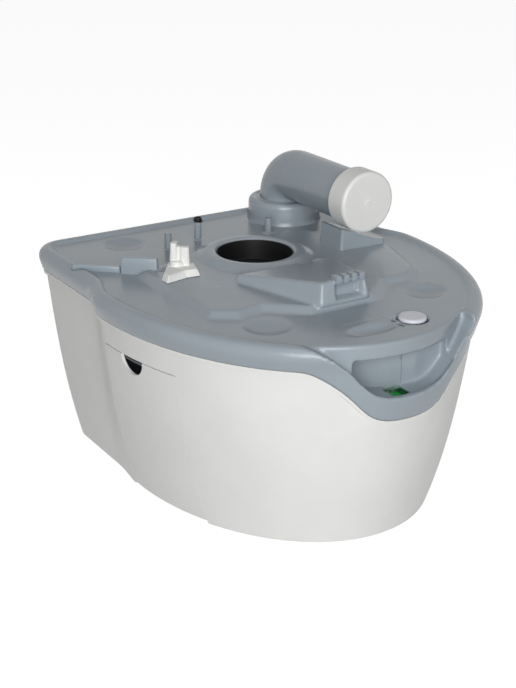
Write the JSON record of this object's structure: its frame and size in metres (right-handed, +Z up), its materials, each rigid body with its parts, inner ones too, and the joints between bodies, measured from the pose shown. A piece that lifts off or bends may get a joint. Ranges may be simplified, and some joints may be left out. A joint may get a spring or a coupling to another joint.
{
  "type": "portable toilet holding tank",
  "caption": "Lower holding tank of a portable toilet: D-shaped cased tank with a swing-blade waste valve, swivelling capped spout, vent button, carry handle, level window and side door.",
  "frame": {"origin": "centre of the bounding box's base, on the floor", "axes": "+Z up; the hand recess faces -Y, the storage door is on the -X side and the spout stands at +X, +Y"},
  "size_m": [0.388, 0.4372, 0.3037],
  "materials": {
    "casing_white": "satin gloss moulded",
    "deck_gray": "satin moulded",
    "tank_gray": "blow moulded",
    "cap_white": "satin moulded",
    "button_white": "satin moulded",
    "seal_rubber": "matte",
    "blade_black": "smooth",
    "liner_gray": "matte moulded",
    "steel": "zinc plated",
    "window_clear": "clear moulded",
    "flag_green": "matte",
    "float_white": "foam"
  },
  "bodies": {
    "tank": {"outer_casing": "casing_white", "tank_deck": "deck_gray", "cap_cradle": "deck_gray", "tank_tub": "tank_gray", "storage_liner": "liner_gray", "valve_collar": "deck_gray", "lip_seal": "seal_rubber", "blade_housing": "tank_gray", "housing_screws": "steel", "shaft_bushing": "deck_gray", "shaft_seal": "seal_rubber", "elbow_seal": "seal_rubber", "spout_collar": "deck_gray", "vent_housing": "tank_gray", "vent_spring": "steel", "indicator_window": "window_clear", "float_bracket": "tank_gray", "door_pin": "steel", "door_catch": "liner_gray", "latch_socket": "blade_black", "feet": "seal_rubber"},
    "valve": {"valve_blade": "blade_black", "valve_shaft": "steel", "valve_knob": "cap_white"},
    "spout": {"spout_elbow": "deck_gray"},
    "cap_seal": {"cap_liner": "seal_rubber"},
    "cap": {"spout_cap": "cap_white"},
    "vent": {"vent_button": "button_white", "vent_stem": "cap_white", "vent_seal": "seal_rubber"},
    "door": {"storage_door": "casing_white"},
    "gauge": {"float_arm": "float_white", "float_ball": "float_white", "indicator_flag": "flag_green"}
  },
  "joints": [
    {"name": "valve_turn", "type": "hinge", "parent": "tank", "child": "valve", "pos_m": [-0.098, 0.042, 0.2], "axis": [0, 0, -1], "range_deg": [0, 56]},
    {"name": "spout_swing", "type": "hinge", "parent": "tank", "child": "spout", "pos_m": [0.114, 0.167, 0.23], "axis": [0, 0, 1], "range_deg": [0, 180]},
    {"name": "cap_travel", "type": "slide", "parent": "spout", "child": "cap_seal", "axis": [0, -1, 0], "range_m": [0, 0.024]},
    {"name": "cap_twist", "type": "hinge", "parent": "cap_seal", "child": "cap", "pos_m": [0.114, 0.008, 0.2707], "axis": [0, -1, 0], "range_deg": [0, 720]},
    {"name": "vent_press", "type": "slide", "parent": "tank", "child": "vent", "axis": [0, 0, -1], "range_m": [0, 0.004], "stiffness_N_per_m": 400, "springref_m": -0.004, "deforming": ["vent_spring"]},
    {"name": "door_open", "type": "hinge", "parent": "tank", "child": "door", "pos_m": [-0.14934, 0.035, 0.014], "axis": [0.1862, -0.9825, 0], "range_deg": [0, 70]},
    {"name": "float_lift", "type": "hinge", "parent": "tank", "child": "gauge", "pos_m": [0, -0.174, 0.146], "axis": [1, 0, 0], "range_deg": [0, 25]}
  ],
  "couplings": [
    {"joint": "cap_travel", "follows": "cap_twist", "m_per_rad": 0.0019098}
  ]
}
